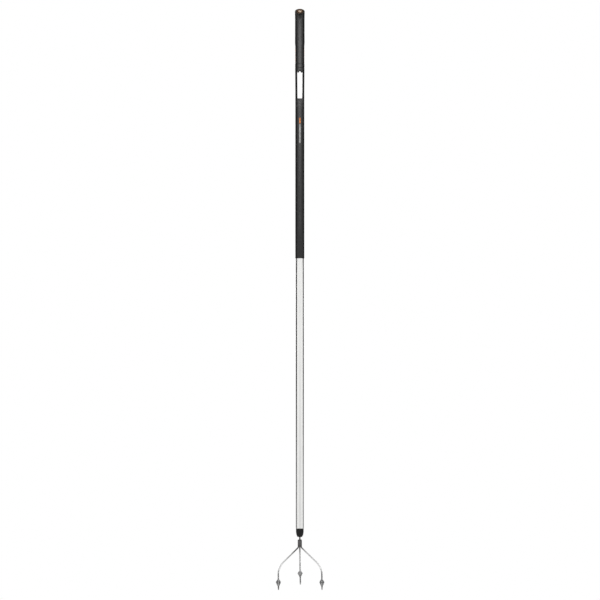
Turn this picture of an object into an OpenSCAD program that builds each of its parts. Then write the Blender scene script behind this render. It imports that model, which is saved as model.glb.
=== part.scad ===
// Long handled three tine cultivator: aluminium shaft, black grip with a hang slot, steel claw.
// Millimetres. +Z runs up the shaft and the tines reach forward, to -Y.
// The origin is the point of the hang slot that bears on a nail or hook, on the shaft's axis.

/* [Shaft tube] */
// Outside diameter of the aluminium tube
tube_od = 22; // [18:0.5:30]
// Wall of the aluminium tube
tube_wall = 1.4; // [1:0.1:2.5]
// Length of tube left bare between the grip sleeve and the ferrule
bare_len = 739; // [300:1:1000]

/* [Grip sleeve] */
// Wall of the plastic sleeve over the tube
sleeve_wall = 1.2; // [0.8:0.1:3]
// Length of the sleeve
sleeve_len = 423; // [200:1:600]
// Rounding of the sleeve's lower rim
sleeve_rim = 1; // [0.3:0.1:1.2]

/* [Hang frame] */
// Width of the hang slot just under its top
slot_w_top = 14.4; // [10:0.2:16]
// Width of the hang slot at its foot
slot_w_foot = 13; // [9:0.2:16]
// Height of the hang slot, up to the nail seat
slot_h = 74.5; // [40:0.5:110]
// Width of the nail seat in the slot's top edge
nail_w = 4; // [3:0.1:7]
// How far the two shoulders beside the nail seat hang below it
nail_depth = 4.2; // [4:0.1:8]
// Rounding of the slot's lower corners
slot_round = 1; // [0.5:0.1:3]
// Solid foot between the slot and the sleeve
frame_foot = 14.5; // [8:0.5:30]
// Solid collar between the slot and the soft grip
frame_collar = 20; // [14:0.5:40]
// How much the frame's radius grows from the sleeve to the collar
frame_flare = 0.5; // [0:0.1:2]
// Height of the shadow groove above the nail seat
groove_z = 9.8; // [4:0.1:12]
// Width of the shadow groove
groove_w = 2; // [1:0.1:3]
// Depth of the shadow groove
groove_depth = 0.8; // [0.3:0.1:1.5]
// Width of the round cutter that leaves the scoops
scoop_w = 18; // [12:0.5:24]
// Depth of the scoops at the slot's foot
scoop_depth = 3.6; // [1.5:0.1:6]
// Plain rim left between the scoops and the sleeve
scoop_rim = 3; // [1:0.5:6]
// Height of the brow above the nail seat, where the frame starts to fall back over the slot
brow_h = 4.5; // [1:0.1:5]
// How far the frame falls back from the brow to the foot of the shoulders
brow_depth = 3.4; // [0.5:0.1:4]
// Length of the frame's spigot in the tube
frame_spigot_len = 70; // [40:1:120]
// Wall of the frame's hollow spigot
frame_spigot_wall = 3; // [2:0.1:5]

/* [Soft grip] */
// Length of the soft grip
grip_len = 151; // [125:0.5:220]
// Thickness of the soft grip over the frame's stem, at the waist
grip_wall = 3.8; // [2.5:0.1:5]
// How much the waist stands out over the sleeve's radius
grip_waist = 0.15; // [0:0.05:0.3]
// Extra radius of the grip's swell, over the waist
grip_swell = 0.7; // [0:0.05:2]
// Extra radius of the grip's hand span, over the waist
grip_span = 0.55; // [0:0.05:2]
// Extra radius of the grip's end, over the waist
grip_knob = 0.95; // [0:0.05:2.5]
// Length of the waist above the collar
waist_len = 45; // [44:1:65]
// Length from the waist to the crest of the swell
swell_len = 14; // [8:1:25]
// Length from the swell's crest to the hand span
span_from = 20; // [10:1:30]
// Length from the hand span to the grip's end
knob_len = 32.5; // [20:0.5:45]
// Height of the grip's domed end
grip_dome = 8; // [4:0.5:11]
// Rounding of the grip's front edge below its sloped face
lip_round = 15; // [6:0.5:16]
// Soft material above the stem
grip_crown = 22.5; // [20:0.5:40]

/* [Colour inlays] */
// Slope of the grip's end face, which carries the round inlay
end_slope = 45; // [35:1:50]
// How far behind the shaft's axis the sloped face begins
face_back = 4; // [0:0.5:5]
// Thickness of the round end inlay
end_inlay_t = 2.4; // [1.5:0.1:4]
// Rise of the end inlay's crown
end_inlay_rise = 0.5; // [0.2:0.1:1]
// Rim of soft grip left around the end inlay
end_inlay_rim = 0.9; // [0.5:0.1:2]
// Height of the side inlays
side_inlay_h = 40; // [20:1:42]
// Width of the side inlays
side_inlay_w = 6; // [3:0.5:9]
// Depth of the side inlays in the grip
side_inlay_t = 1.4; // [0.8:0.1:2]

/* [Ferrule] */
// Step in from the tube to the ferrule, all round
ferrule_step = 0.5; // [0:0.1:1.5]
// Length of the ferrule's rounded nose
nose_len = 23.3; // [15:0.1:40]
// Straight part of the nose under the tube
nose_straight = 6; // [3:0.5:12]
// Rim of the nose's flat tip outside the tang
nose_rim = 0.5; // [0.3:0.1:2]
// Length of the ferrule's spigot in the tube
ferrule_spigot_len = 66; // [45:1:120]
// Solid end of the spigot above the tang
tang_cover = 5; // [2:0.5:10]

/* [Pins] */
// Diameter of the two cross pins
pin_d = 4; // [2.5:0.1:5]
// Height of the head pin above the tube's lower end
head_pin_up = 34; // [20:1:50]
// Depth of the frame pin below the tube's upper end
frame_pin_down = 35; // [15:1:55]

/* [Tine bars] */
// Width of a tine bar, as seen from the front
bar_t = 3.8; // [3:0.1:5]
// Depth of a tine bar at the tang and the block
bar_root = 8; // [6:0.1:11]
// Depth of a tine bar at its point
bar_end = 5; // [3.5:0.1:7]
// Chamfer on the edges of the bars
bar_edge = 0.7; // [0.3:0.1:1.1]
// Bare neck between the ferrule and the block
neck_len = 6.5; // [3:0.1:20]
// Length over which the three bars lie together
block_len = 21.8; // [14:0.1:40]
// Rounding of the outer bars' upper ends
end_round = 2.6; // [1:0.1:4]
// Length of the tapered point of a tine
point_len = 7; // [4:0.5:9]
// Width left at the end of the point
point_w = 2; // [1:0.1:3]

/* [Claw] */
// Distance from the shaft's axis to each outer tine
spread = 59.5; // [40:0.5:90]
// Drop from the block to the knee of an outer tine
side_knee_drop = 54.7; // [45:0.1:70]
// Reach forward of an outer tine at its knee
side_knee_reach = 16.5; // [5:0.5:30]
// Drop from the block to the end of an outer tine
side_drop = 116.1; // [105:0.1:150]
// Reach forward of an outer tine at its end
side_reach = 60; // [50:0.5:80]
// Bend radius at an outer tine's knee
side_knee_r = 52; // [20:1:55]
// Drop from the block to the knee of the centre tine
centre_knee_drop = 46; // [38:0.1:55]
// Reach forward of the centre tine at its knee
centre_knee_reach = 20; // [8:0.5:30]
// Drop from the block to the end of the centre tine
centre_drop = 101.3; // [95:0.1:130]
// Reach forward of the centre tine at its end
centre_reach = 78; // [65:0.5:90]
// Bend radius at the centre tine's knee
centre_knee_r = 60; // [30:1:75]
// Bend radius where the outer tines leave the block
side_root_r = 8; // [6:0.5:14]
// Bend radius where the centre tine leaves the block
centre_root_r = 25; // [15:1:40]

/* [Shares and welds] */
// Width of a diamond share across its wings
share_w = 14; // [9:0.1:20]
// Length of a share above its wings
share_up = 12; // [6:0.5:14]
// Length of a share below its wings
share_down = 22; // [8:0.5:22]
// Thickness of a share
share_t = 2.2; // [1.5:0.1:3.5]
// Angle by which a share's wings are folded back
share_fold = 16; // [0:1:30]
// Width of the bevel round a share
share_bevel = 1.2; // [0.5:0.1:2]
// Distance from an outer tine's end to its share's wings
side_share_up = 29; // [22:0.5:34]
// Distance from the centre tine's end to its share's wings
centre_share_up = 49; // [28:0.5:53]
// How far a weld bead laps over each bar beside the groove
weld_lap = 0.6; // [0.2:0.1:1]
// Rise of a weld bead over the bars
weld_rise = 0.7; // [0.3:0.1:1]
// Bar left clear of the weld at each end of the straight block
weld_margin = 1; // [0.5:0.5:3]

/* [Fits] */
// Gap all round between parts that slide together
slide_fit = 0.1; // [0.05:0.01:0.2]

/* [Hidden] */
$fn = 96;

// Colours as photographed
black = "#2b2b2b";
soft_black = "#343434";
orange = "#f07f1c";
aluminium = "#dfe0de";
steel = "#9a9b9c";
dark_steel = "#6a6b6c";

// Small slack that keeps cutting shapes clear of the faces they pass
slack = 1;

// Radii of what lies round the shaft's axis
tube_r = tube_od / 2;
tube_bore_r = tube_r - tube_wall;
spigot_r = tube_bore_r - slide_fit;
sleeve_bore_r = tube_r + slide_fit;
sleeve_r = sleeve_bore_r + sleeve_wall;
collar_r = sleeve_r + frame_flare;
waist_r = sleeve_r + grip_waist;
stem_r = waist_r - grip_wall - slide_fit;
knob_r = waist_r + grip_knob;
ferrule_r = tube_r - ferrule_step;

// Heights, from the nail seat at zero
slot_foot_z = -slot_h;
tube_top_z = slot_foot_z - frame_foot;
sleeve_low_z = tube_top_z - sleeve_len;
tube_low_z = sleeve_low_z - bare_len;
nose_z = tube_low_z - nose_len;
block_top_z = nose_z - neck_len;
root_z = block_top_z - block_len;
grip_z = frame_collar;
grip_top_z = grip_z + grip_len;
stem_top_z = grip_top_z - grip_crown;
head_pin_z = tube_low_z + head_pin_up;
frame_pin_z = tube_top_z - frame_pin_down;
tang_top_z = tube_low_z + ferrule_spigot_len - tang_cover;

// The sloped end face of the soft grip runs down from the dome to the rounded front lip
lip_cut = lip_round * tan(end_slope / 2);
face_top_z = grip_top_z - grip_dome * (1 - sqrt(1 - pow(face_back / knob_r, 2)));
face_len = (knob_r + face_back) / cos(end_slope) - lip_cut;
face_y = face_back - face_len * cos(end_slope) / 2;
face_z = face_top_z - face_len * sin(end_slope) / 2;
lip_z = face_top_z - (knob_r + face_back) * tan(end_slope);
end_inlay_r = face_len / 2 - end_inlay_rim;

// Side inlays, centred on the waist
side_inlay_z = grip_z + waist_len / 2;

// Smooth step from one station of an outline to the next
function ease(t) = (1 - cos(180 * t)) / 2;
function blend(stations, steps) = [
    for (i = [0 : len(stations) - 2], k = [0 : steps - 1])
        let (a = stations[i], b = stations[i + 1], t = k / steps)
            [a[0] + (b[0] - a[0]) * ease(t), a[1] + (b[1] - a[1]) * t]];
function arc(centre, r, from, to, steps) = [
    for (i = [0 : steps])
        let (a = from + (to - from) * i / steps)
            centre + r * [cos(a), sin(a)]];

// Bent bars: a route is a list of [point, direction], with straight legs and true bends
function unit(v) = v / norm(v);
function corner_cut(p, q, s, r) = r * tan((180 - acos(unit(p - q) * unit(s - q))) / 2);
function bend(p, q, s, r, steps) =
    let (u = unit(p - q), v = unit(s - q), turn = 180 - acos(u * v),
        cut = corner_cut(p, q, s, r),
        centre = q + unit(u + v) * r / cos(turn / 2),
        e1 = q + u * cut - centre, e2 = q + v * cut - centre)
    [for (i = [0 : steps])
        let (a = turn * i / steps)
            [centre + (sin(turn - a) * e1 + sin(a) * e2) / sin(turn),
                unit(cos(a) * e2 - cos(turn - a) * e1)]];

forward = [0, -1, 0];
function depth_way(t) = unit(forward - t * (forward * t));
function width_way(t) = cross(t, depth_way(t));

// One ring of a bar: half width and half depth with chamfered edges, shifted sideways by push
function bar_ring(stop, half_w, half_d, push) =
    let (c = min(bar_edge, half_w / 2, half_d / 2), w = width_way(stop[1]), d = depth_way(stop[1]),
        outline = [[half_w, half_d - c], [half_w - c, half_d], [c - half_w, half_d], [-half_w, half_d - c],
            [-half_w, c - half_d], [c - half_w, -half_d], [half_w - c, -half_d], [half_w, c - half_d]])
    [for (q = outline) stop[0] + w * (q[0] + push) + d * q[1]];

// A closed solid through rings of equal count, closed by the triangles of cap or by a plain fan
module loft(rings, cap = []) {
    n = len(rings[0]);
    last = len(rings) - 1;
    sides = [for (i = [0 : last - 1], k = [0 : n - 1])
        let (a = i * n + k, b = i * n + (k + 1) % n) each [[a, b, b + n], [a, b + n, a + n]]];
    fan = len(cap) > 0 ? cap : [for (k = [1 : n - 2]) [0, k + 1, k]];
    caps = [for (t = fan) each [t, [for (k = [0, 2, 1]) last * n + t[k]]]];
    polyhedron(points = [for (r = rings) each r], faces = concat(sides, caps));
}

// Route of a tine from the top of its straight root to its end
bend_steps = 12;
function tine_route(top, root, knee, tip, root_r, knee_r) =
    let (first = bend(top, root, knee, root_r, bend_steps),
        second = bend(root, knee, tip, knee_r, bend_steps), last = unit(tip - knee))
    concat([[top, unit(root - top)]], first, second, [[tip - last * point_len, last], [tip, last]]);

function side_root(s) = [s * bar_t, 0, root_z];
function side_knee(s) = [s * spread, -side_knee_reach, root_z - side_knee_drop];
function side_tip(s) = [s * spread, -side_reach, root_z - side_drop];
centre_root = [0, 0, root_z];
centre_knee = [0, -centre_knee_reach, root_z - centre_knee_drop];
centre_tip = [0, -centre_reach, root_z - centre_drop];

// Depth of a bar: full to the root bend, then tapering evenly to the end of the knee
function bar_depth(i) =
    let (taper_from = 1, taper_to = 2 * bend_steps + 2)
    bar_root + (bar_end - bar_root) * min(1, max(0, (i - taper_from) / (taper_to - taper_from)));

module tine_bar(route, head_rings) {
    last = len(route) - 1;
    body = [for (i = [0 : last])
        i == last ? bar_ring(route[i], point_w / 2, point_w / 2, 0)
            : bar_ring(route[i], bar_t / 2, bar_depth(i) / 2, 0)];
    loft(concat(head_rings, body));
}

// Rounded upper end of an outer bar, whose inner face stays on the centre bar
end_steps = 4;
function end_rings(s) = [
    for (i = [0 : end_steps - 1])
        let (a = 90 * i / end_steps, lost = bar_t * 0.7 * (1 - sin(a)),
            stop = [[s * bar_t, 0, block_top_z - end_round * (1 - cos(a))], [0, 0, -1]],
            way = width_way(stop[1])[0])
            bar_ring(stop, (bar_t - lost) / 2, bar_root / 2 - lost / 3, -s * way * lost / 2)];

module outer_tine(s) {
    top = [s * bar_t, 0, block_top_z - end_round];
    route = tine_route(top, side_root(s), side_knee(s), side_tip(s), side_root_r, side_knee_r);
    tine_bar(route, end_rings(s));
}

// Diamond share behind its bar: a flat strip along the bar, and a wing folded back on each side
share_cap = [[0, 3, 1], [0, 4, 3], [0, 5, 4], [0, 7, 5], [1, 3, 2], [5, 7, 6]];
function share_ring(z, k) =
    let (half = bar_t / 2, wing = k * share_w / 2, top = -share_up * (k - bar_t / share_w),
        foot = share_down * (k - bar_t / share_w), wing_z = z + (wing - half) * tan(share_fold))
    [[0, -share_up * k, z], [-half, top, z], [-wing, 0, wing_z], [-half, foot, z],
        [0, share_down * k, z], [half, foot, z], [wing, 0, wing_z], [half, top, z]];

module share(knee, tip, up) {
    way = unit(tip - knee);
    front = depth_way(way);
    across = -width_way(way);
    spot = tip - way * up - front * bar_end / 2;
    trim = 1 - 2 * share_bevel / share_w;
    multmatrix([[across[0], way[0], -front[0], spot[0]], [across[1], way[1], -front[1], spot[1]],
        [across[2], way[2], -front[2], spot[2]], [0, 0, 0, 1]])
        loft([share_ring(0, 1), share_ring(share_t / 2, 1), share_ring(share_t, trim)], share_cap);
}

// Pins lie across the shaft and end flush with the tube
module cross_pin(z) {
    intersection() {
        translate([0, 0, z]) rotate([0, 90, 0]) cylinder(d = pin_d, h = 2 * tube_od, center = true);
        translate([0, 0, z]) cylinder(r = tube_r, h = 2 * pin_d, center = true);
    }
}

module pin_bore(z) {
    translate([0, 0, z]) rotate([0, 90, 0])
        cylinder(d = pin_d + 2 * slide_fit, h = 2 * tube_od, center = true);
}

module shaft_tube() {
    color(aluminium)
        difference() {
            translate([0, 0, tube_low_z]) cylinder(r = tube_r, h = tube_top_z - tube_low_z);
            translate([0, 0, tube_low_z - slack])
                cylinder(r = tube_bore_r, h = tube_top_z - tube_low_z + 2 * slack);
            pin_bore(head_pin_z);
            pin_bore(frame_pin_z);
        }
}

module grip_sleeve() {
    rim = min(sleeve_rim, sleeve_wall - 0.1);
    color(black)
        translate([0, 0, sleeve_low_z])
            rotate_extrude()
                polygon(concat([[sleeve_bore_r, 0]],
                    arc([sleeve_r - rim, rim], rim, -90, 0, 6),
                    [[sleeve_r, sleeve_len], [sleeve_bore_r, sleeve_len]]));
}

// Outline of the hang slot: tapered sides, a round nail seat and a round shoulder on each side of it
module slot_outline() {
    shoulder_r = (slot_w_top - nail_w) / 4;
    corner_y = shoulder_r - nail_depth;
    nail_r = nail_w / 2;
    half_foot = slot_w_foot / 2;
    round_z = slot_foot_z + slot_round;
    difference() {
        union() {
            polygon([[-half_foot, round_z], [half_foot, round_z],
                [slot_w_top / 2, corner_y], [-slot_w_top / 2, corner_y]]);
            translate([0, round_z])
                square([slot_w_foot - 2 * slot_round, 2 * slot_round], center = true);
            for (s = [-1, 1])
                translate([s * (half_foot - slot_round), round_z]) circle(r = slot_round);
        }
        for (s = [-1, 1])
            translate([s * (nail_r + shoulder_r), corner_y]) circle(r = shoulder_r);
    }
    translate([0, -nail_r]) circle(r = nail_r);
    translate([-nail_r, corner_y - shoulder_r]) square([nail_w, nail_depth - nail_r]);
}

// Round cutter that leans into the frame's front or back, from its surface at height z
module scoop(s, r, z, run, depth) {
    lean = atan(depth / run);
    translate([0, s * r, z])
        rotate([s * lean, 0, 0])
            translate([0, s * scoop_w / 2, min(0, run) - slack])
                cylinder(d = scoop_w, h = abs(run) + 2 * slack);
}

// Scoops from the surface up to the slot's foot, and from the brow down over the shoulders
module scoops(s) {
    drop = frame_foot - scoop_rim;
    brow_r = collar_r - frame_flare * 0.1;
    scoop(s, sleeve_r, slot_foot_z - drop, drop, scoop_depth);
    scoop(s, brow_r, brow_h, -brow_h - nail_depth, brow_depth);
}

module hang_frame() {
    half_groove = groove_w / 2;
    color(black)
        difference() {
            union() {
                rotate_extrude()
                    polygon([[0, tube_top_z], [sleeve_r, tube_top_z], [sleeve_r, slot_foot_z * 0.7],
                        [collar_r, groove_z - half_groove], [collar_r - groove_depth, groove_z],
                        [collar_r, groove_z + half_groove], [collar_r, grip_z], [0, grip_z]]);
                translate([0, 0, grip_z - slack]) cylinder(r = stem_r, h = stem_top_z - grip_z + slack);
                translate([0, 0, tube_top_z - frame_spigot_len])
                    cylinder(r = spigot_r, h = frame_spigot_len + slack);
            }
            rotate([90, 0, 0]) linear_extrude(height = 4 * collar_r, center = true) slot_outline();
            for (s = [-1, 1]) scoops(s);
            translate([0, 0, tube_top_z - frame_spigot_len - slack])
                cylinder(r = spigot_r - frame_spigot_wall, h = frame_spigot_len + slack);
            pin_bore(frame_pin_z);
        }
}

module frame_pin() {
    color(steel) cross_pin(frame_pin_z);
}

// Outer form of the soft grip, from the waist up to its rounded end
module grip_form() {
    stations = [[waist_r, 0], [waist_r, waist_len], [waist_r + grip_swell, waist_len + swell_len],
        [waist_r + grip_span, waist_len + swell_len + span_from],
        [waist_r + grip_span, grip_len - knob_len], [knob_r, grip_len - grip_dome]];
    dome_steps = 12;
    dome = [for (i = [0 : dome_steps - 1])
        let (a = 90 * i / dome_steps) [knob_r * cos(a), grip_len - grip_dome * (1 - sin(a))]];
    outline = concat([[0, 0]], blend(stations, 6), dome, [[0, grip_len]]);
    translate([0, 0, grip_z]) rotate_extrude() polygon(outline);
}

module end_face(lift) {
    translate([0, face_y, face_z]) rotate([end_slope, 0, 0]) translate([0, 0, lift]) children();
}

// What the rounded lip takes off the corner between the grip's front and its sloped face
module lip_trim() {
    low = [-knob_r, lip_z - lip_cut];
    curve = arc(low + [lip_round, 0], lip_round, 180, 180 - end_slope, 10);
    rotate([90, 0, 90])
        linear_extrude(height = 4 * knob_r, center = true)
            polygon(concat(curve, [curve[10] + slack * [-sin(end_slope), cos(end_slope)],
                [-knob_r - slack, lip_z + slack], low - [slack, 0]]));
}

module side_inlay_form(s, grow) {
    half = side_inlay_h / 2 - side_inlay_w / 2;
    translate([s * (waist_r - side_inlay_t - grow), 0, side_inlay_z])
        rotate([0, s * 90, 0])
            linear_extrude(height = 3 * side_inlay_t) {
                square([2 * half, side_inlay_w + 2 * grow], center = true);
                for (e = [-1, 1]) translate([e * half, 0]) circle(d = side_inlay_w + 2 * grow);
            }
}

module soft_grip() {
    color(soft_black)
        difference() {
            grip_form();
            translate([0, 0, grip_z - slack])
                cylinder(r = stem_r + slide_fit, h = stem_top_z - grip_z + slack + slide_fit);
            end_face(0) translate([0, 0, 2 * knob_r]) cube(4 * knob_r, center = true);
            lip_trim();
            end_face(-end_inlay_t) cylinder(r = end_inlay_r + slide_fit, h = end_inlay_t + slack);
            for (s = [-1, 1]) side_inlay_form(s, slide_fit);
        }
}

module end_inlay() {
    dome_r = (pow(end_inlay_r, 2) + pow(end_inlay_rise, 2)) / (2 * end_inlay_rise);
    dome_from = acos(end_inlay_r / dome_r);
    color(orange)
        end_face(-end_inlay_t)
            rotate_extrude()
                polygon(concat([[0, 0], [end_inlay_r, 0]],
                    arc([0, end_inlay_t - dome_r + end_inlay_rise], dome_r, dome_from, 90, 8)));
}

module side_inlay(s) {
    color(orange)
        intersection() {
            grip_form();
            side_inlay_form(s, 0);
        }
}

module left_inlay() { side_inlay(-1); }
module right_inlay() { side_inlay(1); }

// Bullet nose under the tube, with a spigot in the tube and a slot for the tang
module ferrule() {
    nose_steps = 14;
    flat_r = bar_root / 2 + slide_fit + nose_rim;
    round_len = nose_len - nose_straight;
    nose = [for (i = [0 : nose_steps])
        let (a = 90 * i / nose_steps)
            [flat_r + (ferrule_r - flat_r) * cos(a), -nose_straight - round_len * sin(a)]];
    color(black)
        difference() {
            translate([0, 0, tube_low_z])
                rotate_extrude()
                    polygon(concat([[0, ferrule_spigot_len], [0, -nose_len]],
                        [for (i = [nose_steps : -1 : 0]) nose[i]],
                        [[ferrule_r, 0], [spigot_r, 0], [spigot_r, ferrule_spigot_len]]));
            translate([-bar_t / 2 - slide_fit, -bar_root / 2 - slide_fit, nose_z - slack])
                cube([bar_t + 2 * slide_fit, bar_root + 2 * slide_fit,
                    tang_top_z - nose_z + slack + slide_fit]);
            pin_bore(head_pin_z);
        }
}

module head_pin() {
    color(steel) cross_pin(head_pin_z);
}

module centre_tine() {
    route = tine_route([0, 0, tang_top_z], centre_root, centre_knee, centre_tip,
        centre_root_r, centre_knee_r);
    color(steel)
        difference() {
            tine_bar(route, []);
            pin_bore(head_pin_z);
        }
}

module left_tine() { color(steel) outer_tine(-1); }
module right_tine() { color(steel) mirror([1, 0, 0]) outer_tine(-1); }

// Beads that fill the groove between two bars of the block, front and back
module weld(s) {
    side_cut = corner_cut([s * bar_t, 0, block_top_z], side_root(s), side_knee(s), side_root_r);
    centre_cut = corner_cut([0, 0, block_top_z], centre_root, centre_knee, centre_root_r);
    low = root_z + max(side_cut, centre_cut) + weld_margin;
    high = block_top_z - end_round - weld_margin;
    half = bar_edge + weld_lap;
    for (f = [-1, 1])
        translate([s * bar_t / 2, f * bar_root / 2, low])
            linear_extrude(height = high - low)
                polygon([[0, -f * bar_edge], [bar_edge, 0], [half, 0], [half / 2, f * weld_rise * 0.8],
                    [0, f * weld_rise], [-half / 2, f * weld_rise * 0.8], [-half, 0], [-bar_edge, 0]]);
}

module left_weld() { color(dark_steel) weld(-1); }
module right_weld() { color(dark_steel) weld(1); }

module centre_share() { color(steel) share(centre_knee, centre_tip, centre_share_up); }
module left_share() { color(steel) share(side_knee(-1), side_tip(-1), side_share_up); }
module right_share() { color(steel) mirror([1, 0, 0]) share(side_knee(-1), side_tip(-1), side_share_up); }

shaft_tube();
grip_sleeve();
hang_frame();
frame_pin();
soft_grip();
end_inlay();
left_inlay();
right_inlay();
ferrule();
head_pin();
centre_tine();
left_tine();
right_tine();
left_weld();
right_weld();
centre_share();
left_share();
right_share();
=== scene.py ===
"""Looks of a long handled garden cultivator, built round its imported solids.

Shapes are worked out in millimetres in the solids' own frame and turned to metres as each piece is placed.
Finishes turn the places of their marks to metres too, and the studio is set out in metres.
"""

import math

import bmesh
import bpy
from mathutils import Matrix, Vector


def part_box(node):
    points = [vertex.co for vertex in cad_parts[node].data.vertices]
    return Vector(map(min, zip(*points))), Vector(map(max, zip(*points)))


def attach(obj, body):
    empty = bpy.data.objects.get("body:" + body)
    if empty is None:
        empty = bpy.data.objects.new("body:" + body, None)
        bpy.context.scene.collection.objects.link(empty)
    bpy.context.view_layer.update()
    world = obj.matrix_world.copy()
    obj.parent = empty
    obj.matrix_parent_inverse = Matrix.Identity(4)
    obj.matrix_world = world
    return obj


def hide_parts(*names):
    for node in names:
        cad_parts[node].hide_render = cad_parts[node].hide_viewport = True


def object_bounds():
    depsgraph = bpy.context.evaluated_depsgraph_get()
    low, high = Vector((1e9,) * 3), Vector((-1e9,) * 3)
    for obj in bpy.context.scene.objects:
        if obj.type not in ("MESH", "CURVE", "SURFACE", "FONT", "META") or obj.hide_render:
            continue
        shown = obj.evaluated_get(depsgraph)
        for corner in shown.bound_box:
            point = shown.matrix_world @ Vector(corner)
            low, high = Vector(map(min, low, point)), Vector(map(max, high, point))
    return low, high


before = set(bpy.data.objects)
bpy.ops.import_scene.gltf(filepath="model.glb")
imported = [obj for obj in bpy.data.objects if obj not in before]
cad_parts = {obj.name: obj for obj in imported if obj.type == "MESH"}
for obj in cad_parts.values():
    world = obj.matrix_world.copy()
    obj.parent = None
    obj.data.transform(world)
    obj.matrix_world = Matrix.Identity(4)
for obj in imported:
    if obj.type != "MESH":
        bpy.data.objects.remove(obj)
solid_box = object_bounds()

MM = 0.001
X, Y, Z = range(3)
UP = Vector((0, 0, 1))
FRONT = Vector((0, -1, 0))
RIGHT = Vector((1, 0, 0))


def metres(*sizes):
    """Sizes or places in millimetres, as metres."""
    return [size * MM for size in sizes]


def lowest(node):
    """Lowest X, Y and Z of a node's solid in millimetres, to the nearest thousandth."""
    return [round(c / MM, 3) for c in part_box(node)[0]]


def highest(node):
    """Highest X, Y and Z of a node's solid in millimetres, to the nearest thousandth."""
    return [round(c / MM, 3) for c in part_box(node)[1]]


def middle(node):
    """Middle of a node's box."""
    return [(low + high) / 2 for low, high in zip(lowest(node), highest(node))]


def extent(node):
    """Width, depth and height of a node's box."""
    return [high - low for low, high in zip(lowest(node), highest(node))]


# Sizes round the shaft's axis
FIT = 0.1
TUBE_R = highest("shaft_tube")[X]
TUBE_WALL = 1.4
SLEEVE_R = highest("grip_sleeve")[X]
SLEEVE_BORE = TUBE_R + FIT
COLLAR_R = highest("hang_frame")[X]
WAIST_R = highest("right_inlay")[X]
GRIP_WALL = 3.8
STEM_R = WAIST_R - GRIP_WALL - FIT
KNOB_R = 13.4
SPIGOT_R = TUBE_R - TUBE_WALL - FIT
SPIGOT_WALL = 3.0
NOSE_R = highest("ferrule")[X]

# Heights from the nail seat
TUBE_LOW = lowest("shaft_tube")[Z]
TUBE_TOP = highest("shaft_tube")[Z]
SLEEVE_LOW = lowest("grip_sleeve")[Z]
SPIGOT_LOW = lowest("hang_frame")[Z]
STEM_TOP = highest("hang_frame")[Z]
SLOT_FOOT = -74.5
NAIL_DEPTH = 4.2
GRIP_Z = lowest("soft_grip")[Z]
GRIP_LEN = 151.0
GRIP_DOME = 8.0
NOSE_Z = lowest("ferrule")[Z]
FERRULE_TOP = highest("ferrule")[Z]
TANG_TOP = highest("centre_tine")[Z]
BLOCK_TOP = highest("left_tine")[Z]
BLOCK_LEN = 21.8
ROOT_Z = BLOCK_TOP - BLOCK_LEN

# Cross pins
HEAD_PIN_Z = middle("head_pin")[Z]
FRAME_PIN_Z = middle("frame_pin")[Z]
PIN_R = extent("head_pin")[Z] / 2

# Sloped end of the soft grip, from its dome down to its rounded front lip
END_SLOPE = math.radians(45)
LIP_ROUND = 15.0
LIP_CUT = LIP_ROUND * math.tan(END_SLOPE / 2)
FACE_BACK = 4.0
FACE_TOP = GRIP_Z + GRIP_LEN - GRIP_DOME * (1 - math.sqrt(1 - (FACE_BACK / KNOB_R) ** 2))
FACE_LEN = (KNOB_R + FACE_BACK) / math.cos(END_SLOPE) - LIP_CUT
FACE_Y = FACE_BACK - FACE_LEN * math.cos(END_SLOPE) / 2
FACE_Z = FACE_TOP - FACE_LEN * math.sin(END_SLOPE) / 2
LIP_Z = FACE_TOP - (KNOB_R + FACE_BACK) * math.tan(END_SLOPE)
END_INLAY_RIM = 0.9
END_INLAY_R = FACE_LEN / 2 - END_INLAY_RIM
END_INLAY_T = 2.4

# Side inlays
INLAY_Z = middle("right_inlay")[Z]
INLAY_T, INLAY_W, INLAY_H = extent("right_inlay")

# Bars and shares of the claw
BAR_W = extent("centre_tine")[X]
BAR_ROOT = 2 * highest("centre_tine")[Y]
BAR_END = 5.0
SPREAD = highest("right_tine")[X] - BAR_W / 2
POINT_LEN = 7.0
POINT_W = 2.0
END_ROUND = 2.6
SHARE_W = extent("centre_share")[X]
SHARE_UP = 12.0
SHARE_DOWN = 22.0
SHARE_FOLD = math.tan(math.radians(16))


# Meshes


def make_piece(name, verts, faces):
    """A mesh object in millimetres, with its faces turned outwards."""
    mesh = bpy.data.meshes.new(name)
    mesh.from_pydata([tuple(v) for v in verts], [], faces)
    piece = bpy.data.objects.new(name, mesh)
    bpy.context.scene.collection.objects.link(piece)
    work = bmesh.new()
    work.from_mesh(mesh)
    bmesh.ops.recalc_face_normals(work, faces=work.faces)
    work.to_mesh(mesh)
    work.free()
    return piece


def arc(centre, r, start, stop, steps):
    """Points of an arc in a plane, by angles in degrees."""
    angles = [math.radians(start + (stop - start) * i / steps) for i in range(steps + 1)]
    return [(centre[0] + r * math.cos(a), centre[1] + r * math.sin(a)) for a in angles]


def lathe(name, outline, steps=128, closed=False):
    """Turn an outline of (radius, height) round the shaft's axis."""
    on_axis = 1e-6
    verts, rings = [], []
    for r, z in outline:
        if r < on_axis:
            rings.append([len(verts)] * steps)
            verts.append((0, 0, z))
            continue
        rings.append(list(range(len(verts), len(verts) + steps)))
        for k in range(steps):
            a = 2 * math.pi * k / steps
            verts.append((r * math.cos(a), r * math.sin(a), z))
    pairs = list(zip(rings, rings[1:]))
    if closed:
        pairs.append((rings[-1], rings[0]))
    faces = []
    for low, high in pairs:
        for k in range(steps):
            j = (k + 1) % steps
            corners = list(dict.fromkeys((low[k], low[j], high[j], high[k])))
            if len(corners) > 2:
                faces.append(corners)
    return make_piece(name, verts, faces)


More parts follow.
